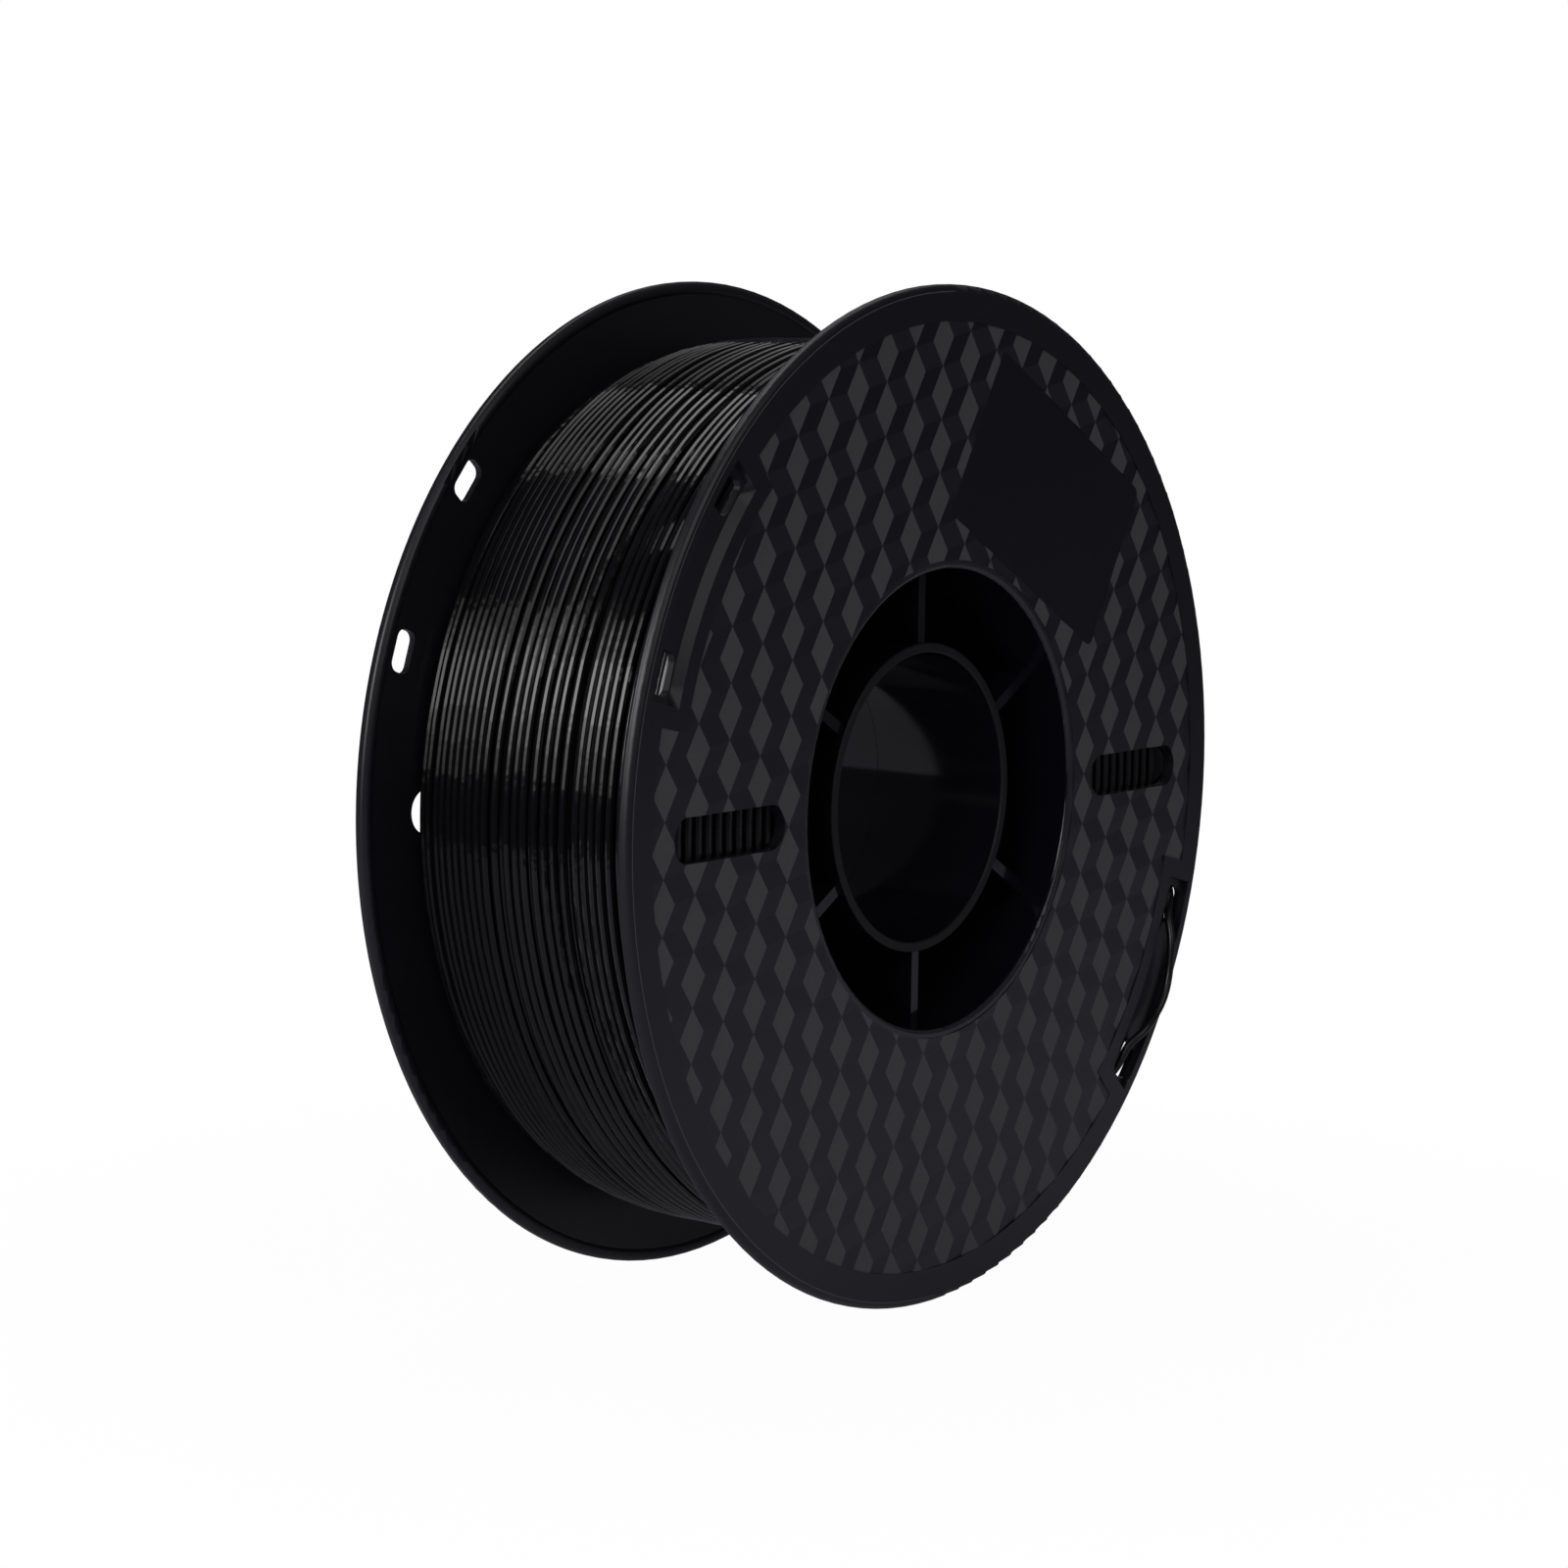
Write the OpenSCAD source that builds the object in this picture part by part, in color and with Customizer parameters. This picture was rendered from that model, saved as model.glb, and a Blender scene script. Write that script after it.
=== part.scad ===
// Filament spool: two snapped mouldings, one wound strand and a bare label.
// Millimetres. The spool's axis is Y, the front face looks along -Y, +Z is up,
// and the origin is the centre of the bore, half way between the two faces.

/* [Spool] */
// Diameter of the two flanges
spool_d = 200; // [190:1:220]
// Width over the rim faces
spool_w = 65; // [60:0.5:80]
// Diameter of the through bore
bore_d = 57; // [50:0.5:60]

/* [Flanges] */
// Thickness of a flange at its rim
flange_t = 2.6; // [2.6:0.1:4]
// Width of the smooth rim band
rim_band = 7; // [5:0.5:9]
// How far the patterned field lies below the rim face
field_drop = 0.4; // [0.2:0.1:0.6]
// Radius of the rim's outer corner
rim_round = 1.5; // [0.5:0.1:1.6]
// Radius of the rim's inner corner
rim_inner_round = 0.8; // [0.3:0.1:0.9]

/* [Hub] */
// Inner diameter of the barrel and of the opening in a flange
barrel_id = 90.2; // [84:0.2:91]
// Wall of the barrel
barrel_t = 2.4; // [2:0.1:4]
// Rounding of the opening's lip
lip_round = 1; // [0.5:0.1:1.2]
// Wall of the bore tube
tube_t = 2; // [1.6:0.1:3]
// Distance from the rim face back to the end of the bore tube
tube_set_back = 5.7; // [4:0.1:12]
// Rounding of the bore tube's end
tube_round = 0.4; // [0.2:0.1:0.7]
// Number of ribs between the tube and the barrel
rib_count = 6; // [3:1:8]
// Thickness of a rib
rib_t = 2.3; // [1.5:0.1:3]
// Distance from the rim face back to the edge of the ribs
rib_set_back = 6.8; // [5:0.1:14]

/* [Windows and strand parking] */
// Length of a radial sight slot
slot_l = 33.4; // [20:0.1:34]
// Width of a radial sight slot
slot_w = 8.5; // [5:0.5:12]
// Radius at the outer end of a sight slot
slot_end_r = 86.5; // [80:0.5:88]
// Inner radius of a parking groove at the face
groove_r0 = 89; // [87:0.5:90]
// Outer radius of a parking groove
groove_r1 = 97; // [95:0.5:97]
// Angle that a parking groove spans
groove_span = 28.8; // [20:0.2:34]
// Thickness of flange left under a groove
groove_floor = 1.4; // [0.8:0.1:1.4]
// Length of the strand hole at each end of a groove
hole_l = 8.2; // [6:0.1:9]
// Radial width of a strand hole
hole_w = 5; // [4.5:0.1:5.6]

/* [Filament] */
// Diameter of the filament
filament_d = 1.75; // [1.75:1.1:2.85]
// Diameter over the full winding, at its middle
winding_d = 178.4; // [120:0.2:180]
// How much lower the winding lies where it meets the rear flange
rear_crown = 4.3; // [0:0.1:5]
// How much lower it lies where it meets the front flange, where winding ended
front_crown = 1; // [0:0.1:5]

/* [Label] */
// Long side of the bare label
label_w = 59.4; // [30:0.2:62]
// Short side of the bare label
label_h = 36; // [20:0.5:36]

/* [Hidden] */

$fn = 96;
eps = 0.01;

// Distances from the mid plane, called w below, and radii
face_w = spool_w / 2;
inner_w = face_w - flange_t;
field_w = face_w - field_drop;
spool_r = spool_d / 2;
rim_r = spool_r - rim_band;
bore_r = bore_d / 2;
tube_r = bore_r + tube_t;
barrel_r0 = barrel_id / 2;
barrel_r1 = barrel_r0 + barrel_t;
tube_w = face_w - tube_set_back;
rib_w = face_w - rib_set_back;

// Lap joint where the halves meet: the front half carries the inner lips
lap_l = 4;
lap_gap = 0.1;
barrel_lap_r = barrel_r0 + 0.55 * barrel_t;
tube_lap_r = bore_r + 0.5 * tube_t;

// Snap hooks: three on each half, between the ribs, each into its own window
hook_angles = [for (i = [0:2]) 120 * i];
hook_span = 14;
hook_t = 2;
hook_gap = 0.3;
hook_root = 14;
hook_foot = 6;
hook_reach = 8;
barb_l = 3;
barb_out = 1.9;
window_gap = 0.2;

// Places round the axis, in degrees from +X towards +Z
slot_angles = [0, 180];
groove_angles = [150, -30];
rib_phase = 90;
hole_offset = 11.05;
pad_r0 = 85.7;
pad_span = groove_span + 5;
groove_floor_w = inner_w + groove_floor;
groove_foot_r = groove_r0 + 2;
hole_r = (groove_foot_r + groove_r1) / 2;
hole_corner = 1.8;

// Label, on the field at the upper right, with its upper edge turned outwards
label_angle = 59;
label_turn = 60.7;
label_r = 66.8;
label_t = 0.2;
label_corner = 1.5;

// Winding: one bead for each strand along its outside, nearly level across the
// middle and falling off towards the flanges
winding_r = winding_d / 2;
crown_power = 4;
strand_r = filament_d / 2;
winding_l = 2 * inner_w;
turns_across = floor(winding_l / filament_d);
strand_pitch = winding_l / turns_across;

// Route of the tail's centre line, from the winding to its parked end
tail_route = [
    [87.2, -26.0, 10.0], [87.9, -26.0, 3.0], [88.3, -26.2, -5.0],
    [89.5, -26.1, -10.4], [90.4, -26.0, -13.8], [92.3, -26.0, -20.5],
    [92.6, -27.4, -25.0], [90.7, -29.6, -28.7], [86.6, -31.8, -32.6],
    [85.0, -33.7, -37.8], [84.2, -33.8, -44.6], [82.4, -33.9, -49.1],
    [79.6, -33.8, -52.5], [75.0, -33.7, -55.7], [71.6, -31.8, -58.9],
    [69.8, -30.3, -63.1], [68.0, -27.2, -67.4], [64.7, -24.1, -70.9]
];

// Route of the strand's inner end, from the anchor hole in the barrel into the
// hub, drawn at the top of the barrel and then turned to the anchor's angle
start_route = [
    [0.0, 22.0, 47.5], [0.0, 22.0, 45.6], [0.1, 22.0, 43.6], [0.6, 21.8, 41.6],
    [1.8, 21.0, 39.8], [3.6, 19.4, 38.4], [5.8, 17.2, 37.6], [8.0, 14.8, 37.4]
];
anchor_hole_r = 1.3;
anchor_angle = 80;
anchor_w = 22;
tube_sides = 8;

// ---- helpers -------------------------------------------------------------

// Turns a shape drawn as (x, z, w) so that w points out of the front or rear
module side(front) {
    if (front) rotate([90, 0, 0]) children();
    else mirror([0, 1, 0]) rotate([90, 0, 0]) children();
}

// A 2D sector of the plane, wide enough to cover the flange
module sector(centre, span) {
    reach = 2 * spool_r;
    polygon([[0, 0],
             for (k = [-2:2]) reach * [cos(centre + k * span / 4),
                                       sin(centre + k * span / 4)]]);
}

module ring(r0, r1, w0, w1) {
    translate([0, 0, w0]) difference() {
        cylinder(r = r1, h = w1 - w0);
        translate([0, 0, -1]) cylinder(r = r0, h = w1 - w0 + 2);
    }
}

module rounded_bar(l, w, r) {
    for (x = [-1, 1], y = [-1, 1])
        translate([x * (l / 2 - r), y * (w / 2 - r)]) circle(r);
    square([l - 2 * r, w], center = true);
    square([l, w - 2 * r], center = true);
}

// Points and faces of a round strand swept along a route
function unit(v) = v / norm(v);
function tangent(p, i) = unit(p[min(i + 1, len(p) - 1)] - p[max(i - 1, 0)]);
function across(t) = unit(cross(t, abs(t[0]) < 0.8 ? [1, 0, 0] : [0, 0, 1]));
function carried(n, t) = unit(n - (n * t) * t);
function normals(p, i, n) =
    i == len(p) ? [] :
    let (m = i == 0 ? across(tangent(p, 0)) : carried(n, tangent(p, i)))
    concat([m], normals(p, i + 1, m));

// Catmull-Rom points between the hand-set ones
function between(a, b, c, d, t) =
    0.5 * (2 * b + (c - a) * t + (2 * a - 5 * b + 4 * c - d) * t * t
           + (3 * b - a - 3 * c + d) * t * t * t);
function smooth(p, steps) = concat(
    [for (i = [0:len(p) - 2], k = [0:steps - 1])
        between(p[max(i - 1, 0)], p[i], p[i + 1],
                p[min(i + 2, len(p) - 1)], k / steps)],
    [p[len(p) - 1]]);

module strand(route, r, steps) {
    p = smooth(route, steps);
    n = normals(p, 0, [0, 0, 0]);
    m = len(p);
    s = tube_sides;
    points = [for (i = [0:m - 1], k = [0:s - 1])
        let (t = tangent(p, i), a = 360 * k / s)
        p[i] + r * (cos(a) * n[i] + sin(a) * cross(t, n[i]))];
    walls = [for (i = [0:m - 2], k = [0:s - 1])
        [(i + 1) * s + k, (i + 1) * s + (k + 1) % s, i * s + (k + 1) % s, i * s + k]];
    ends = [[for (k = [0:s - 1]) k], [for (k = [s - 1:-1:0]) (m - 1) * s + k]];
    polyhedron(points, concat(walls, ends));
}

// ---- one moulded half ----------------------------------------------------

// Half section of the flange and the barrel, x as radius and y as w
module half_section(front) {
    difference() {
        union() {
            // field disc
            translate([barrel_r0, inner_w])
                square([rim_r + 1 - barrel_r0, field_w - inner_w]);
            // rim band with its rounded corners
            translate([rim_r, inner_w])
                square([rim_band - rim_round, flange_t]);
            translate([rim_r, inner_w + rim_inner_round])
                square([rim_band, flange_t - rim_round - rim_inner_round]);
            translate([rim_r, inner_w])
                square([rim_band - rim_inner_round, flange_t - rim_round]);
            translate([spool_r - rim_round, face_w - rim_round])
                circle(rim_round);
            translate([spool_r - rim_inner_round, inner_w + rim_inner_round])
                circle(rim_inner_round);
            // barrel, with its lap
            translate([barrel_r0, front ? 0 : lap_l])
                square([barrel_t, inner_w + eps - (front ? 0 : lap_l)]);
            if (front)
                translate([barrel_r0, -lap_l + lap_gap])
                    square([barrel_lap_r - barrel_r0, lap_l]);
            else
                translate([barrel_lap_r, 0])
                    square([barrel_r1 - barrel_lap_r, lap_l + eps]);
        }
        // rounded lip of the opening
        difference() {
            translate([barrel_r0 - 1, field_w - lip_round])
                square([lip_round + 1, lip_round + 1]);
            translate([barrel_r0 + lip_round, field_w - lip_round])
                circle(lip_round);
        }
    }
}

// Half section of the bore tube, with a rounded end
module tube_section(front) {
    translate([bore_r, front ? 0 : lap_l])
        square([tube_t, tube_w - tube_round - (front ? 0 : lap_l)]);
    translate([bore_r + tube_round, tube_w - 2 * tube_round])
        square([tube_t - 2 * tube_round, 2 * tube_round]);
    for (r = [bore_r + tube_round, tube_r - tube_round])
        translate([r, tube_w - tube_round]) circle(tube_round);
    if (front)
        translate([bore_r, -lap_l + lap_gap])
            square([tube_lap_r - bore_r, lap_l]);
    else
        translate([tube_lap_r, 0])
            square([tube_r - tube_lap_r, lap_l + eps]);
}

module ribs() {
    for (i = [0:rib_count - 1])
        rotate([0, 0, rib_phase + 360 * i / rib_count])
            translate([tube_r - 0.5, -rib_t / 2, 0])
                cube([barrel_r0 - tube_r + 1, rib_t, rib_w]);
}

// Smooth pads that carry the parking grooves, level with the rim face
module groove_pads() {
    for (a = groove_angles)
        intersection() {
            ring(pad_r0, rim_r + 0.5, field_w - 0.5, face_w);
            linear_extrude(face_w + 1) sector(a, pad_span);
        }
}

// A parking groove: sloped inner wall, upright outer wall
module groove(a) {
    intersection() {
        rotate_extrude()
            polygon([[groove_foot_r, groove_floor_w], [groove_r1, groove_floor_w],
                     [groove_r1, face_w + 1], [groove_r0, face_w + 1],
                     [groove_r0, face_w]]);
        linear_extrude(face_w + 2) sector(a, groove_span);
    }
}

module strand_hole(a) {
    rotate([0, 0, a]) translate([hole_r, 0, inner_w - 1])
        linear_extrude(flange_t + 2) rounded_bar(hole_w, hole_l, hole_corner);
}

module sight_slot(a) {
    rotate([0, 0, a])
        translate([slot_end_r - slot_l / 2, 0, inner_w - 1])
            linear_extrude(flange_t + 2)
                rounded_bar(slot_l, slot_w, slot_w / 2 - eps);
}

// A snap hook that runs across the mid plane along the inside of the barrel
module snap_hook() {
    r1 = barrel_r0 - hook_gap;
    intersection() {
        union() {
            ring(r1 - hook_t, r1, -hook_reach, hook_root);
            ring(r1 - hook_t, barrel_r0 + eps, hook_root - hook_foot, hook_root);
            rotate_extrude()
                polygon([[r1 - 0.5, -hook_reach], [r1, -hook_reach],
                         [r1 + barb_out, barb_l - hook_reach],
                         [r1 - 0.5, barb_l - hook_reach]]);
        }
        translate([0, 0, -hook_reach - 1])
            linear_extrude(hook_reach + hook_root + 2) sector(0, hook_span);
    }
}

// The window in the other half's barrel that a hook's barb drops into
module hook_window() {
    intersection() {
        ring(barrel_r0 - 1, barrel_r1 + 1, hook_reach - barb_l - window_gap,
             hook_reach + window_gap);
        linear_extrude(2 * hook_reach) sector(0, hook_span + 1);
    }
}

module half(front) {
    turned = front ? 0 : 60;
    difference() {
        union() {
            rotate_extrude() half_section(front);
            rotate_extrude() tube_section(front);
            ribs();
            groove_pads();
            for (a = hook_angles) rotate([0, 0, a + turned]) snap_hook();
        }
        for (a = slot_angles) sight_slot(a);
        for (a = groove_angles) {
            groove(a);
            for (s = [-1, 1]) strand_hole(a + s * hole_offset);
        }
        for (a = hook_angles) rotate([0, 0, a + 60 - turned]) hook_window();
        if (!front)
            rotate([0, 0, anchor_angle]) translate([barrel_r0 - 2, 0, anchor_w])
                rotate([0, 90, 0]) cylinder(r = anchor_hole_r, h = barrel_t + 4);
    }
}

// ---- the pieces ----------------------------------------------------------

module front_half() {
    color([0.10, 0.10, 0.11]) side(true) half(true);
}

module rear_half() {
    color([0.12, 0.12, 0.13]) side(false) half(false);
}

// Radius of the outside turns' centre line at the distance w in front of the
// mid plane
function bead_r(w) =
    winding_r - strand_r
    - (w > 0 ? front_crown : rear_crown) * pow(abs(w) / inner_w, crown_power);

// The wound strand, crowned, and beaded on the outside by its turns
module filament_winding() {
    turn_w = [for (i = [0:turns_across - 1]) -inner_w + (i + 0.5) * strand_pitch];
    color([0.05, 0.05, 0.06])
        rotate([90, 0, 0]) rotate_extrude() {
            polygon(concat(
                [[barrel_r1, -inner_w], [bead_r(-inner_w), -inner_w]],
                [for (w = turn_w) [bead_r(w), w]],
                [[bead_r(inner_w), inner_w], [barrel_r1, inner_w]]));
            for (w = turn_w) translate([bead_r(w), w]) circle(strand_r);
        }
}

module filament_start() {
    color([0.05, 0.05, 0.06])
        rotate([0, 90 - anchor_angle, 0]) strand(start_route, strand_r, 3);
}

module filament_tail() {
    color([0.05, 0.05, 0.06]) strand(tail_route, strand_r, 3);
}

module label() {
    color([0.06, 0.06, 0.09])
        side(true)
            translate([label_r * cos(label_angle), label_r * sin(label_angle), field_w])
                rotate([0, 0, label_turn - 90])
                    linear_extrude(label_t)
                        rounded_bar(label_w, label_h, label_corner);
}

front_half();
rear_half();
filament_winding();
filament_start();
filament_tail();
label();
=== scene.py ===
import math

import bmesh
import bpy
import numpy as np
from mathutils import Matrix, Quaternion, Vector


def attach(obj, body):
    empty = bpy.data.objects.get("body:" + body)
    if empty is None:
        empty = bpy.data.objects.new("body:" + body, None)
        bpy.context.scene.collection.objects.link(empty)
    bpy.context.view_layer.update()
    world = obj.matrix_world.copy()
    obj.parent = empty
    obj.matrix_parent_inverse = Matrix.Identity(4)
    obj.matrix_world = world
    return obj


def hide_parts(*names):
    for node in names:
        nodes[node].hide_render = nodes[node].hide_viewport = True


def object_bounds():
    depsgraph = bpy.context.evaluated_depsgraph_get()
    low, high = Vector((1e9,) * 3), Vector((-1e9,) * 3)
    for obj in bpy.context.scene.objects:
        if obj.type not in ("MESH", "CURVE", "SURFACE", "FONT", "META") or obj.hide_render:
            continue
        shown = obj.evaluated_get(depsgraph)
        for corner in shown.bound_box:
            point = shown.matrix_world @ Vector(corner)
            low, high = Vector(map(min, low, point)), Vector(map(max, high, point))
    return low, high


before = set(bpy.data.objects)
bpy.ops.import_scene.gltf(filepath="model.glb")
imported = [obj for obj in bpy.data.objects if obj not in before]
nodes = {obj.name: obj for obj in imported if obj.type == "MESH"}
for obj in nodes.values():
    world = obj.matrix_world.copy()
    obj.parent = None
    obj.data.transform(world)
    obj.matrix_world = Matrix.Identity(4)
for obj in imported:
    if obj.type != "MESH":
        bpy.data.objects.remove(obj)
scene = bpy.context.scene
cad_box = [list(corner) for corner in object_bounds()]


# The camera stands a little above the bore's axis, to the left of the front flange, far enough off
# that a long lens fills the frame with the spool.
def link(name, data):
    """A new object in the scene with that mesh, lamp or camera in it."""
    piece = bpy.data.objects.new(name, data)
    scene.collection.objects.link(piece)
    return piece


camera_place = Vector((-0.6434, -0.4644, 0.0946))
look_at = Vector((-0.0026, 0.0051, 0.0003))
camera_roll = math.radians(0.865)
camera_data = bpy.data.cameras.new("camera")
camera_data.lens = 91.71
camera_data.sensor_width = 36
camera = link("camera", camera_data)
sight = (look_at - camera_place).normalized()
aim = sight.to_track_quat("-Z", "Y") @ Quaternion((0, 0, 1), camera_roll)
camera.matrix_world = Matrix.LocRotScale(camera_place, aim, None)
scene.camera = camera
scene.view_settings.view_transform = "Standard"


# The stage is a pale table top under the spool, a white backdrop behind it and a dim room all round.
# The lights are soft boxes: three inside each other at the left of the winding, one before the left
# of the front flange, one over the spool and a weak one over its right.
class Wire:
    """An output of a shader tree. Arithmetic on it adds Math nodes, and add() makes any other node."""

    def __init__(self, tree, socket=None):
        self.tree = tree
        self.socket = socket

    def add(self, kind, settings=(), sockets=(), out=0):
        """Makes a node of that kind: its settings first, then the values or wires of its sockets."""
        node = self.tree.nodes.new(kind)
        for name, value in dict(settings).items():
            setattr(node, name, value)
        for name, value in dict(sockets).items():
            if isinstance(value, Wire):
                self.tree.links.new(value.socket, node.inputs[name])
            else:
                node.inputs[name].default_value = value
        return Wire(self.tree, node.outputs[out]) if len(node.outputs) else None

    def beside(self, out):
        """Another output of the node that this one comes from."""
        return Wire(self.tree, self.socket.node.outputs[out])

    def axes(self):
        """The X, Y and Z of a vector."""
        x = self.add("ShaderNodeSeparateXYZ", (), {"Vector": self}, out="X")
        return x, x.beside("Y"), x.beside("Z")

    def smooth(self, start, end):
        """0 at the start value and before it, 1 from the end value on, and a smooth step between."""
        return self.add("ShaderNodeMapRange", {"interpolation_type": "SMOOTHSTEP"}, {
            "Value": self, "From Min": start, "From Max": end})

    def colour(self, first, second):
        """The first colour where this is 0, the second where it is 1."""
        return self.add("ShaderNodeMix", {"data_type": "RGBA"}, {0: self, 6: first, 7: second}, out=2)

    def tint(self, blue):
        """A colour with this as its red and its green, and with that blue."""
        return self.add("ShaderNodeCombineColor", (), {"Red": self, "Green": self, "Blue": blue})

    def math(self, operation, first, second):
        """A Math node on two values or wires."""
        return self.add("ShaderNodeMath", {"operation": operation}, {0: first, 1: second})

    def __add__(self, other):
        return self.math("ADD", self, other)

    __radd__ = __add__

    def __mul__(self, other):
        return self.math("MULTIPLY", self, other)

    __rmul__ = __mul__

    def __sub__(self, other):
        return self.math("SUBTRACT", self, other)

    def __rsub__(self, other):
        return self.math("SUBTRACT", other, self)

    def __gt__(self, other):
        return self.math("GREATER_THAN", self, other)


def blank(owner):
    """The start of a material's or a world's shader tree, with the nodes it comes with taken out."""
    owner.use_nodes = True
    owner.node_tree.nodes.clear()
    return Wire(owner.node_tree)


def ray_kind(start):
    """1 for rays that come straight from the camera, and 1 for those that shine or see through first."""
    seen = start.add("ShaderNodeLightPath", out="Is Camera Ray")
    return seen, seen.beside("Is Glossy Ray") + seen.beside("Is Transmission Ray")


backdrop_spread = math.radians(12)
room_light = 0.16
room_mirrored = 0.045
room_blue = 1.12
world = bpy.data.worlds.new("room")
scene.world = world
air = blank(world)
seen, mirrored = ray_kind(air)
sky = air.add("ShaderNodeTexCoord", out="Generated")
facing = air.add("ShaderNodeVectorMath", {"operation": "DOT_PRODUCT"}, {0: sky, 1: sight}, out="Value")
behind = facing > math.cos(backdrop_spread)
room = mirrored * (room_mirrored - room_light) + room_light
white = seen + mirrored * behind
dim = white + room * (1 - white)
bluish = white + room_blue * room * (1 - white)
glow = air.add("ShaderNodeBackground", (), {"Color": dim.tint(bluish)})
air.add("ShaderNodeOutputWorld", (), {"Surface": glow})

table_look = 0.975  # share of plain white that the camera sees near the spool, where its shadow lies
table_mirrored = 0.10  # the same share in a reflection
paper_tone, paper_blue = 0.87, 0.04
dimmer_lit, dimmer_white = 0.57, 0.10  # how much darker paper and plain white are in a reflection
shadow_r, clear_r = 0.13, 0.30  # in metres, where the shadow starts to fade and where it has gone
corners = [(-0.50, -0.34), (0.52, -0.64), (0.60, 0.62), (-0.50, 0.62)]
low = cad_box[0][2]
table_mesh = bpy.data.meshes.new("table")
table_mesh.from_pydata([(x, y, low) for x, y in corners], [], [(0, 1, 2, 3)])
table = link("table", table_mesh)
paper = bpy.data.materials.new("paper")
sheet = blank(paper)
seen, mirrored = ray_kind(sheet)
away = sheet.add("ShaderNodeVectorMath", {"operation": "LENGTH"}, {
    0: sheet.add("ShaderNodeTexCoord", out="Object")}, out="Value")
clear = away.smooth(shadow_r, clear_r)
paleness = paper_tone - dimmer_lit * mirrored
lit = sheet.add("ShaderNodeBsdfDiffuse", (), {"Color": paleness.tint(paleness + paper_blue * (1 - seen))})
pale = sheet.add("ShaderNodeEmission", (), {
    "Color": (1 - dimmer_white * mirrored).tint(1.0), "Strength": 1.0})
shown = sheet.add("ShaderNodeMixShader", (), {
    0: seen * (table_look + clear * (1 - table_look)) + mirrored * table_mirrored, 1: lit, 2: pale})
sheet.add("ShaderNodeOutputMaterial", (), {"Surface": shown})
table_mesh.materials.append(paper)


def soft_box(name, azimuth, elevation, distance, width, height, radiance):
    """An oblong light that faces the spool from that azimuth (from +X towards +Y) and elevation.

    Angles are in degrees and sizes in metres."""
    around, up = math.radians(azimuth), math.radians(elevation)
    way = Vector((math.cos(up) * math.cos(around), math.cos(up) * math.sin(around), math.sin(up)))
    data = bpy.data.lights.new(name, "AREA")
    data.shape = "RECTANGLE"
    data.size, data.size_y = width, height
    data.energy = radiance * math.pi * width * height
    lamp = link(name, data)
    lamp.matrix_world = Matrix.LocRotScale(way * distance, way.to_track_quat("Z", "Y"), None)
    lamp.visible_camera = False


soft_box("box_left", 178, 22, 1.3, 1.30, 0.88, 1.2)
soft_box("box_left_inner", 177, 23, 1.28, 1.15, 0.58, 1.4)
soft_box("box_left_core", 176, 24, 1.25, 0.95, 0.28, 2.6)
soft_box("box_left_front", 257, 34, 1.35, 0.78, 0.85, 1.05)
soft_box("box_over", 86, 77, 1.2, 0.60, 0.45, 2.6)
soft_box("box_over_right", 30, 52, 1.2, 0.6, 0.6, 0.6)


# The two black mouldings. Each is a flange, half of the barrel and half of the bore tube in one piece.
# The outer face of the flange carries a moulded relief of tumbling blocks: every third facet is etched.
# Sizes are in mm, as radius about the bore (r) and as distance from mid width (w).
mm = 0.001
barrel_r = 47.5
lip_r = 46.1
turned_radii = (28.5, 30.5, 45.1, barrel_r, 100)  # bore, tube, opening, barrel, flange
turned_edges = (  # lip of the opening, rim outside and inside, end of the tube inside and outside
    (lip_r, 31.1, 1), (98.5, 31, 1.5), (99.2, 30.7, 0.8), (28.9, 26.4, 0.4), (30.1, 26.4, 0.4))
turned_off = 0.06  # a corner this near to a turned shape lies on it
field_w = 32.1
label_t = 0.2
relief_inner_r = 46.9
relief_origin = np.array([2.84, -63.30])
block_side = np.array([3.20, -4.68])
block_drop = np.array([-3.37, -5.61])
block_across = np.array([6.06, 1.04])
block_rows, block_columns = np.arange(-22, 23), np.arange(-12, 13)
relief_mid = 0.20
relief_step = 0.17
slab_t = 1.1
level, nearly_level = 0.9999, 0.99  # share of a normal along the bore: the facets lie between these


def merged_copy(node, name):
    """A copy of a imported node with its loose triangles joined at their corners."""
    mesh = nodes[node].data.copy()
    mesh.name = name
    mesh.materials.clear()
    shell = bmesh.new()
    shell.from_mesh(mesh)
    bmesh.ops.remove_doubles(shell, verts=shell.verts, dist=2e-6)
    shell.to_mesh(mesh)
    shell.free()
    return link(name, mesh)


def joined(piece, other, operation):
    """Adds the other solid to the piece, cuts it away, or keeps what they share, and drops the other."""
    tool = piece.modifiers.new(operation, "BOOLEAN")
    tool.object = other
    tool.operation = operation
    tool.solver = "MANIFOLD"
    result = bpy.data.meshes.new_from_object(piece.evaluated_get(bpy.context.evaluated_depsgraph_get()))
    result.materials.clear()
    piece.modifiers.clear()
    piece.data = result
    bpy.data.objects.remove(other)


def whole(mesh, name, width, dtype=float):
    """One attribute of every vertex, loop or face of a mesh as an array with that many columns."""
    values = np.empty(len(mesh) * width, dtype)
    mesh.foreach_get(name, values)
    return values.reshape(-1, width) if width > 1 else values


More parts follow.
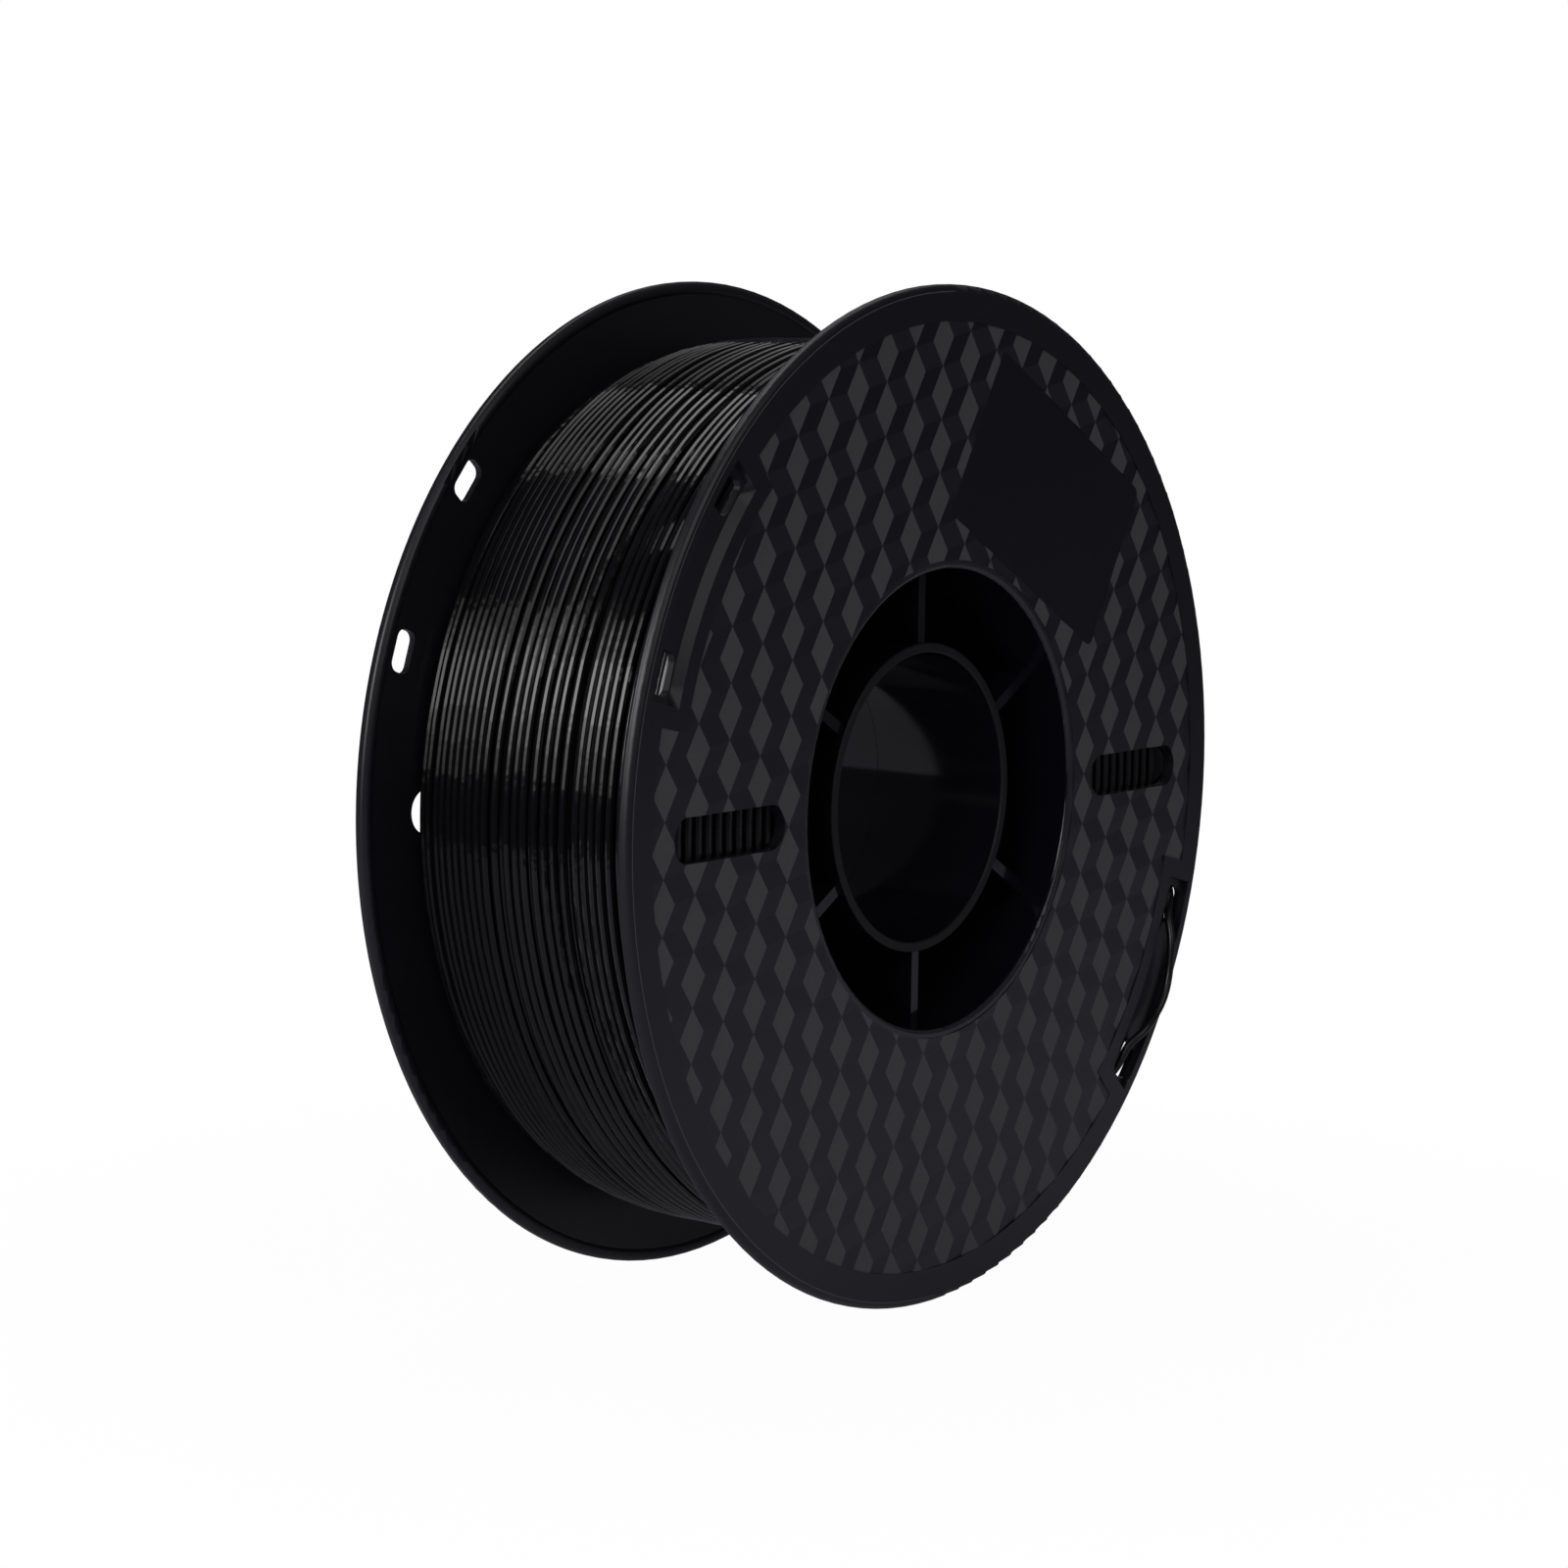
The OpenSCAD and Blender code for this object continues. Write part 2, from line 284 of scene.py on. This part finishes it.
def field_prism(piece, front):
    """The flat field of the flange, raised: its triangles at two heights, with walls along their border.

    Its inner edge keeps a little away from the opening's lip, which stays plain."""
    raised, sunk = 0.6, 0.2
    mesh = piece.data
    place = whole(mesh.vertices, "co", 3)
    faces = whole(mesh.loops, "vertex_index", 1, int).reshape(-1, 3)
    flat = np.abs(whole(mesh.polygons, "center", 3)[:, 1] - front * field_w * mm) < 1e-6
    flat &= whole(mesh.polygons, "normal", 3)[:, 1] * front > level
    faces = faces[flat]
    used, faces = np.unique(faces, return_inverse=True)
    faces = faces.reshape(-1, 3)
    edges = np.concatenate([faces[:, [0, 1]], faces[:, [1, 2]], faces[:, [2, 0]]])
    _, first, count = np.unique(np.sort(edges, 1), axis=0, return_index=True, return_counts=True)
    border = edges[first[count == 1]]
    place = place[used]
    beside_lip = np.hypot(place[:, 0], place[:, 2]) < (lip_r + 0.2) * mm
    place[beside_lip] *= [relief_inner_r / lip_r, 1, relief_inner_r / lip_r]
    top, bottom = place.copy(), place.copy()
    top[:, 1] = front * (field_w + raised) * mm
    bottom[:, 1] = front * (field_w - sunk) * mm
    n = len(used)
    walls = np.stack([border[:, 0], border[:, 0] + n, border[:, 1] + n, border[:, 1]], 1)
    prism = bpy.data.meshes.new("field")
    caps = faces.tolist() + (faces[:, ::-1] + n).tolist()
    prism.from_pydata(np.concatenate([top, bottom]).tolist(), [], caps + walls.tolist())
    return link("field", prism)


def relief_slab(front):
    """A slab whose outer side is the tumbling blocks.

    Corners lie at relief_origin + i*(side + drop) + j*(side + across), and one side or one drop from
    there. Their heights are mid, mid + step and mid - step, so that each block is three flat rhombs."""
    i, j = np.meshgrid(block_rows, block_columns, indexing="ij")
    node = relief_origin + i[..., None] * (block_side + block_drop)
    node = node + j[..., None] * (block_side + block_across)
    plan = np.stack([node, node + block_side, node + block_drop])
    height = field_w + relief_mid + relief_step * np.array([0.0, 1.0, -1.0])
    depth = np.broadcast_to(height[:, None, None, None], plan.shape[:-1] + (1,))
    corners = np.concatenate([plan[..., :1] * -front, depth * front, plan[..., 1:]], -1)
    index = np.arange(plan[..., 0].size).reshape(plan.shape[:-1])
    here, side, drop = index
    stay, on, back = slice(1, -1), slice(2, None), slice(0, -2)
    etched = np.stack([here[stay, stay], side[stay, stay], here[on, stay], drop[stay, stay]], -1)
    upper = np.stack([here[stay, stay], drop[back, on], here[stay, on], side[stay, stay]], -1)
    lower = np.stack([side[stay, stay], here[stay, on], drop[stay, on], here[on, stay]], -1)
    quads = np.concatenate([etched, upper, lower]).reshape(-1, 4)
    mesh = bpy.data.meshes.new("relief")
    mesh.from_pydata((corners.reshape(-1, 3) * mm).tolist(), [], quads.tolist())
    slab = bmesh.new()
    slab.from_mesh(mesh)
    loose = [corner for corner in slab.verts if not corner.link_faces]
    bmesh.ops.delete(slab, geom=loose, context="VERTS")
    made = bmesh.ops.extrude_face_region(slab, geom=list(slab.faces))["geom"]
    for corner in made:
        if isinstance(corner, bmesh.types.BMVert):
            corner.co.y = front * (field_w - slab_t) * mm
    bmesh.ops.recalc_face_normals(slab, faces=slab.faces)
    slab.to_mesh(mesh)
    slab.free()
    return link("relief", mesh)


def shade(mesh, flat=False):
    """Smooth shading with sharp edges over 30 degrees, and none on the faces given as flat."""
    smooth = np.ones(len(mesh.polygons), bool)
    mesh.polygons.foreach_set("use_smooth", smooth)
    mesh.set_sharp_from_angle(angle=math.radians(30))
    mesh.polygons.foreach_set("use_smooth", smooth & np.logical_not(flat))


def turned_normals(mesh, front):
    """Corner normals taken from the turned shapes themselves, where a face lies on one of them.

    They are cylinders about the bore, given by their radius, and round edges, each a circle given by
    its centre's radius and depth and by its size, and turned about the bore."""
    faces = np.repeat(np.arange(len(mesh.polygons)), whole(mesh.polygons, "loop_total", 1, int))
    flat = whole(mesh.polygons, "normal", 3)[faces]
    at = whole(mesh.vertices, "co", 3)[whole(mesh.loops, "vertex_index", 1, int)] / mm
    radius, depth = np.hypot(at[:, 0], at[:, 2]), at[:, 1] * front
    out = at * [1, 0, 1] / radius[:, None]
    normals = np.zeros_like(at)
    shapes = []
    for size in turned_radii:
        facing = out * np.sign((out * flat).sum(1))[:, None]
        shapes.append((np.abs(radius - size) < turned_off, facing))
    for centre_r, centre_w, size in turned_edges:
        arm = out * (radius - centre_r)[:, None]
        arm[:, 1] = (depth - centre_w) * front
        reach = np.linalg.norm(arm, axis=1)
        shapes.append((np.abs(reach - size) < turned_off, arm / np.maximum(reach, 1e-6)[:, None]))
    for on, facing in shapes:
        off = ~on | ((facing * flat).sum(1) < 0.9)
        whole_face = np.bincount(faces, off, len(mesh.polygons))[faces] == 0
        normals[whole_face] = facing[whole_face]
    mesh.normals_split_custom_set(normals.tolist())


def label_place():
    """The label's own outline, stretched through the relief."""
    raised, sunk = 0.8, 0.5
    mould = merged_copy("label", "label_place")
    corners = whole(mould.data.vertices, "co", 3)
    outer = corners[:, 1] < -(field_w + label_t / 2) * mm
    corners[:, 1] = np.where(outer, -(field_w + raised), -(field_w - sunk)) * mm
    mould.data.vertices.foreach_set("co", corners.ravel())
    return mould


def moulding(node, front):
    """One half, with the relief laid on its field and each leaning facet marked by the way it faces."""
    piece = merged_copy(node, node + "_moulding")
    relief = relief_slab(front)
    joined(relief, field_prism(piece, front), "INTERSECT")
    if front < 0:
        joined(relief, label_place(), "DIFFERENCE")
    joined(piece, relief, "UNION")
    mesh = piece.data
    normal = whole(mesh.polygons, "normal", 3)
    height = whole(mesh.polygons, "center", 3)[:, 1] * front
    outward = normal[:, 1] * front
    tilted = (outward > nearly_level) & (outward < level) & (height > field_w * mm)
    lean = normal * [-front, 1, 1]
    etched = tilted & (lean[:, 0] < 0)
    # The facets that lean down and up are marked so that the material paints them darker as shade and
    # lighter as light.
    lower = tilted & (lean[:, 0] > 0) & (lean[:, 2] < 0)
    upper = tilted & (lean[:, 0] > 0) & (lean[:, 2] > 0)
    for name, mask in (("etched", etched), ("lower", lower), ("upper", upper)):
        mesh.attributes.new(name, "FLOAT", "FACE").data.foreach_set("value", mask.astype(np.float32))
    shade(mesh, np.abs(normal[:, 1]) > nearly_level)
    turned_normals(mesh, front)
    return piece


def within(spread, radius):
    """1 nearer to the bore's axis than that radius, 0 further off. The spread is a squared distance."""
    return 1 - (spread > (radius * mm) ** 2)


# The walls of the hub come polished from the mould and are painted darker, as shade in the hollow.
# The lip round the opening is painted paler, as a highlight, and the tube's end is rougher and
# painted darker, as shade. The flange is satin, with a fine grain that is coarser and paler on the
# etched facets; the facets that lean up are painted lighter, as light, and those that lean down darker,
# as shade.
hub_r = 45.3
tube_end_r, tube_end_w = 31, 26.3
grain_depth = 0.00002
black_plastic = bpy.data.materials.new("black_plastic")
resin = blank(black_plastic)
place = resin.add("ShaderNodeTexCoord", out="Object")
etch, painted_shade_lower, painted_lit_upper = [
    resin.add("ShaderNodeAttribute", {"attribute_name": name}, out="Fac")
    for name in ("etched", "lower", "upper")]
grain = resin.add("ShaderNodeTexNoise", (), {"Vector": place, "Scale": 2600.0, "Detail": 2.0})
haze = resin.add("ShaderNodeTexNoise", (), {"Vector": place, "Scale": 45.0, "Detail": 3.0})
across, along, upward = place.axes()
spread = across * across + upward * upward
# The hub's walls are painted darker as shade, and the ring between hub_r and relief_inner_r paler as a
# painted highlight.
hub = within(spread, hub_r)
lip = within(spread, relief_inner_r) - hub
tube_end = (along * along > (tube_end_w * mm) ** 2) * within(spread, tube_end_r)
polished = hub - tube_end
tone = (0.0082, 0.0078, 0.0112, 1)
# Painted shade in the hub, a painted highlight on the lip, painted light and shade on the facets that
# lean up and down, and the etched facets' own paler tone.
for share, shade_of_black in (
        (hub, (0.0052, 0.0048, 0.0080, 1)),
        (lip, (0.0210, 0.0206, 0.0240, 1)),
        (painted_lit_upper, (0.0138, 0.0135, 0.0180, 1)),
        (painted_shade_lower, (0.0045, 0.0042, 0.0085, 1)),
        (etch, (0.0535, 0.0530, 0.0550, 1))):
    tone = share.colour(tone, shade_of_black)
# The tube's end is painted darker still, as shade.
lightness = (0.75 + grain * 0.35 * (0.4 + etch) + haze * 0.25) * (1 - 0.6 * tube_end)
tone = resin.add("ShaderNodeVectorMath", {"operation": "SCALE"}, {0: tone, "Scale": lightness})
rough = 0.36 + etch * 0.24 + (haze - 0.5) * 0.12 * (1 - polished)
rough = rough - polished * 0.26 - lip * 0.10 + tube_end * 0.2
bump = resin.add("ShaderNodeBump", (), {
    "Strength": 0.25, "Distance": grain_depth, "Height": grain * (0.35 + etch) * (1 - polished)})
body = resin.add("ShaderNodeBsdfPrincipled", (), {
    "Base Color": tone, "Roughness": rough, "Normal": bump, "IOR": 1.5})
resin.add("ShaderNodeOutputMaterial", (), {"Surface": body})

for node, front in (("front_half", -1), ("rear_half", 1)):
    piece = moulding(node, front)
    piece.data.materials.append(black_plastic)
    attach(piece, "root")
    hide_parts(node)


# The winding: one round black strand, wound in layers. The outside turns are a strand of their own
# that drifts as it was laid, so that they gather in groups with gaps that show the layer below. The
# strand reaches the front flange and then climbs back over its last turns to where the tail starts.
strand_r = 0.875
inner_w = 29.9
flange_gap = 0.02
rear_crown, front_crown = 4.3, 1.0
winding_r = 89.2
layer_rise = 1.52
rear_turn = 28.95
turn_steps = [
    1.8, 1.8, 2.3, 2.2, 1.9, 1.8, 1.75, 2.1, 1.8, 1.8, 3.4, 1.75, 1.75, 2.8, 2.5, 2.5, 1.8, 2.9, 2.6,
    1.9, 1.75, 2.1, 1.9, 2.0, 1.8, 3.5, 1.77, 0]
closest_turns = 1.76
usual_turns = 1.8
tail_start = np.array([87.2, -26.0, 10.0])


def crown_r(y):
    """Radius of the outside turns' middle line.

    It is highest half way between the flanges, and lower towards either by that side's crown times
    the fourth power of the way there."""
    return winding_r - strand_r - np.where(y > 0, rear_crown, front_crown) * np.abs(y / inner_w) ** 4


def tube_mesh(name, middle, radius, sides):
    """A round tube along a line: at each point a circle square to the line, closed at both ends."""
    middle = np.asarray(middle, float)
    ahead = np.gradient(middle, axis=0)
    ahead /= np.linalg.norm(ahead, axis=1, keepdims=True)
    side = np.cross(ahead, [0, 1.0, 0])
    side /= np.linalg.norm(side, axis=1, keepdims=True)
    up = np.cross(side, ahead)
    angle = np.arange(sides) * 2 * np.pi / sides
    ring = side[:, None] * np.cos(angle)[:, None] + up[:, None] * np.sin(angle)[:, None]
    skin = (middle[:, None] + ring * radius).reshape(-1, 3)
    count = len(middle)
    grid = np.arange(count * sides).reshape(count, sides)
    turned = np.roll(grid, -1, 1)
    quads = np.stack([grid[:-1], turned[:-1], turned[1:], grid[1:]], -1).reshape(-1, 4)
    mesh = bpy.data.meshes.new(name)
    mesh.from_pydata(skin.tolist(), [], quads.tolist() + [grid[0, ::-1].tolist(), grid[-1].tolist()])
    return mesh


def ease(part):
    """Goes from 0 to 1 as the part does, level at both ends: 3 parts squared less 2 parts cubed."""
    return part * part * (3 - 2 * part)


def wave(at, knots):
    """A smooth line through knots that lie one apart, eased from each to the next."""
    left = at.astype(int)
    share = ease(at - left)
    return knots[left] * (1 - share) + knots[left + 1] * share


def outer_turns(steps):
    """Places of the outside turns: y for each turn and step of angle.

    The turns start from the listed distances, drift by a few slow waves, and are pushed apart where
    two would be closer than one strand. The last turn lies along the front flange until it climbs."""
    rng = np.random.default_rng(7)
    start = rear_turn - np.concatenate([[0], np.cumsum(turn_steps)])
    turns = len(start) - 1
    t = np.arange(turns * steps + 1) / steps
    y = np.interp(t, np.arange(turns + 1), start)
    for waves, size in ((0.35, 0.30), (0.8, 0.25), (1.7, 0.16), (3.1, 0.08)):
        y += wave(t * waves * 2, rng.normal(0, size, int(turns * waves * 2) + 3))
    edge = inner_w - strand_r - flange_gap
    wound = len(t) - steps
    for _ in range(80):
        gap = y[:wound - steps] - y[steps:wound]
        push = np.clip(closest_turns - gap, 0, None) / 2
        y[:wound - steps] += push
        y[steps:wound] -= push
        y = np.clip(y, -edge, edge)
    settle_start, settle_length = turns - 1.4, 0.4
    climb_start, climb_length = turns - 0.22, 0.18
    settle = np.clip((t - settle_start) / settle_length, 0, 1)
    y = y * (1 - settle) - edge * settle
    climb = ease(np.clip((t - climb_start) / climb_length, 0, 1))
    return t, y * (1 - climb) + tail_start[1] * climb, np.sin(np.pi * climb) ** 2


# A turn sinks a little where its neighbours stand far apart, and it rides up and down by two fine waves.
steps = 240
sink_share, widest_gap = 0.10, 1.2
climb_rise = 1.5
t, y, climb = outer_turns(steps)
end_angle = math.atan2(tail_start[2], tail_start[0])
angle = end_angle + 2 * np.pi * (t[-1] - t)
apart = y[:-steps] - y[steps:]
beyond = np.full(steps, usual_turns)
gap_rear = np.concatenate([beyond, apart])
gap_front = np.concatenate([apart, beyond])
sink = sink_share * np.clip((gap_rear + gap_front) / 2 - usual_turns, 0, widest_gap)
ride = np.zeros(len(t))
for stretch, size in ((5, 0.055), (2, 0.025)):
    knots = np.random.default_rng(11 + stretch).normal(0, size, len(t) // stretch + 3)
    ride += wave(np.arange(len(t)) / stretch, knots)
radius = crown_r(y) - sink - np.abs(ride) + climb_rise * climb
line = np.stack([radius * np.cos(angle), y, radius * np.sin(angle)], 1)
turns_mesh = tube_mesh("winding_outside", line * mm, strand_r * mm, 10)
winding_outside = link("winding_outside", turns_mesh)
shade(turns_mesh)


def lathe_mesh(name, profile, around):
    """A closed ring: the profile of (radius, y) points turned about the Y axis."""
    r, y = profile[:, 0], profile[:, 1]
    points = np.stack([
        r[None] * np.cos(around)[:, None], np.broadcast_to(y, (len(around), len(y))),
        r[None] * np.sin(around)[:, None]], -1)
    grid = np.arange(len(around) * len(r)).reshape(len(around), len(r))
    beside, on = np.roll(grid, -1, 0), np.roll(grid, -1, 1)
    quads = np.stack([grid, on, np.roll(on, -1, 0), beside], -1).reshape(-1, 4)
    mesh = bpy.data.meshes.new(name)
    mesh.from_pydata(points.reshape(-1, 3).tolist(), [], quads.tolist())
    return mesh


# The layers below are a ring. Its outside is a row of beads, one for each turn of the second layer, and
# each flank is a bead for every layer, with every other bead set in by half a strand.
bead = np.radians([-60, -20, 20, 60])
second_pitch = 1.765
top_room, foot_room = 1.0, 1.2
ring_steps = 132
second = np.arange(-16.5, 17) * second_pitch
tops = np.stack([
    crown_r(second)[:, None] - layer_rise + strand_r * np.cos(bead),
    second[:, None] + strand_r * np.sin(bead)], -1).reshape(-1, 2)
flanks = []
for side in (-1, 1):
    levels = np.arange(barrel_r + strand_r, crown_r(side * inner_w) - layer_rise - top_room, layer_rise)
    inset = np.where(np.arange(len(levels)) % 2, strand_r, 0.0)
    flank = np.stack([
        levels[:, None] + strand_r * np.sin(bead),
        side * ((inner_w - flange_gap - strand_r - inset)[:, None] + strand_r * np.cos(bead))], -1)
    flanks.append(np.concatenate([[[barrel_r, side * (inner_w - foot_room)]], flank.reshape(-1, 2)]))
profile = np.concatenate([flanks[0], tops, flanks[1][::-1]])
around = 2 * np.pi * np.arange(ring_steps) / ring_steps
core_mesh = lathe_mesh("winding_inside", profile * mm, around)
winding_inside = link("winding_inside", core_mesh)
shade(core_mesh)

# The strand's skin waves gently. Its reflections are painted fainter towards the rear and the top, as
# shade, so that it is glossiest near the front flange, and its last turn along the front flange is
# smoother and less glossy. Places are in metres.
fade_start, fade_end = -0.005, 0.016
high_start, high_end = 0.050, 0.072
calm_start, calm_end = -0.0285, -0.0305
wave_depth = 0.00012
gloss_black = bpy.data.materials.new("gloss_black_strand")
strand = blank(gloss_black)
place = strand.add("ShaderNodeTexCoord", out="Object")
wander = strand.add("ShaderNodeTexNoise", (), {"Vector": place, "Scale": 60.0, "Detail": 2.0})
fine = strand.add("ShaderNodeTexNoise", (), {"Vector": place, "Scale": 900.0, "Detail": 2.0})
broad = strand.add("ShaderNodeTexNoise", (), {"Vector": place, "Scale": 220.0, "Detail": 2.0})
_, along, upward = place.axes()
painted_shade_rear = along.smooth(fade_start, fade_end)
high = upward.smooth(high_start, high_end)
calm = along.smooth(calm_start, calm_end)
tone = wander.colour((0.0022, 0.0022, 0.0028, 1), (0.0045, 0.0045, 0.0052, 1))
bump = strand.add("ShaderNodeBump", (), {
    "Strength": 1.0, "Distance": wave_depth, "Height": (broad + fine * 0.05) * (1 - 0.85 * calm)})
rough = 0.06 + wander * 0.10 + calm * 0.22
glossy, painted_shade_gloss = [
    strand.add("ShaderNodeBsdfPrincipled", (), {
        "Base Color": tone, "Roughness": rough, "Normal": bump, "IOR": ior}) for ior in (1.52, 1.22)]
# The mix paints shade on the reflections towards the rear and the top.
body = strand.add("ShaderNodeMixShader", (), {0: painted_shade_rear * (0.65 + 0.27 * high), 1: glossy, 2: painted_shade_gloss})
strand.add("ShaderNodeOutputMaterial", (), {"Surface": body})

for piece in (winding_outside, winding_inside):
    piece.data.materials.append(gloss_black)
    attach(piece, "root")
    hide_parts("filament_winding")


# The strand's two ends: the tail, parked through the two holes of a flange groove, and the start,
# hooked through a small hole in the barrel.
tail_route = np.array([
    [87.2, -26.0, 10.0], [87.9, -26.0, 3.0], [88.3, -26.2, -5.0], [89.5, -26.1, -10.4],
    [90.4, -26.0, -13.8], [92.3, -26.0, -20.5], [92.6, -27.4, -25.0], [90.7, -29.6, -28.7],
    [86.6, -31.8, -32.6], [85.0, -33.7, -37.8], [84.2, -33.8, -44.6], [82.4, -33.9, -49.1],
    [79.6, -33.8, -52.5], [75.0, -33.7, -55.7], [71.6, -31.8, -58.9], [69.8, -30.3, -63.1],
    [68.0, -27.2, -67.4], [64.7, -24.1, -70.9]])
start_route = np.array([
    [0, 22, 47.5], [0, 22, 45.6], [0.1, 22, 43.6], [0.6, 21.8, 41.6], [1.8, 21, 39.8], [3.6, 19.4, 38.4],
    [5.8, 17.2, 37.6], [8, 14.8, 37.4]])
anchor_angle = math.radians(10)


def curve_through(route, per_step):
    """A smooth curve through the points of a route.

    Each stretch is a cubic that leaves either end along the chord of that point's neighbours."""
    ends = np.concatenate([[2 * route[0] - route[1]], route, [2 * route[-1] - route[-2]]])
    a, b, c, d = ends[:-3, None], ends[1:-2, None], ends[2:-1, None], ends[3:, None]
    u = (np.arange(per_step) / per_step)[None, :, None]
    curve = b + 0.5 * u * (c - a + u * (2 * a - 5 * b + 4 * c - d + u * (3 * (b - c) + d - a)))
    return np.concatenate([curve.reshape(-1, 3), route[-1:]])


about_bore = np.array(Matrix.Rotation(anchor_angle, 3, "Y"))
for node, route in (("filament_tail", tail_route), ("filament_start", start_route @ about_bore.T)):
    mesh = tube_mesh(node + "_strand", curve_through(route, 6) * mm, strand_r * mm, 16)
    shade(mesh)
    piece = link(node + "_strand", mesh)
    mesh.materials.append(gloss_black)
    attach(piece, "root")
    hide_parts(node)


# The label: a thin dark film with nothing printed on it and with small round corners, stuck on the flat
# place that the relief leaves for it.
label = merged_copy("label", "label_film")
shade(label.data, np.abs(whole(label.data.polygons, "normal", 3)[:, 1]) > nearly_level)
soften = label.modifiers.new("edge", "BEVEL")
soften.width = 0.00006
soften.segments = 2
soften.limit_method = "ANGLE"
dark_film = bpy.data.materials.new("dark_film")
film = blank(dark_film)
place = film.add("ShaderNodeTexCoord", out="Object")
cloud = film.add("ShaderNodeTexNoise", (), {"Vector": place, "Scale": 60.0, "Detail": 3.0})
tone = cloud.colour((0.0044, 0.0037, 0.0085, 1), (0.0052, 0.0044, 0.0095, 1))
body = film.add("ShaderNodeBsdfPrincipled", (), {
    "Base Color": tone, "Roughness": 0.36 + cloud * 0.08, "IOR": 1.45})
film.add("ShaderNodeOutputMaterial", (), {"Surface": body})
label.data.materials.append(dark_film)
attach(label, "root")
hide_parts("label")
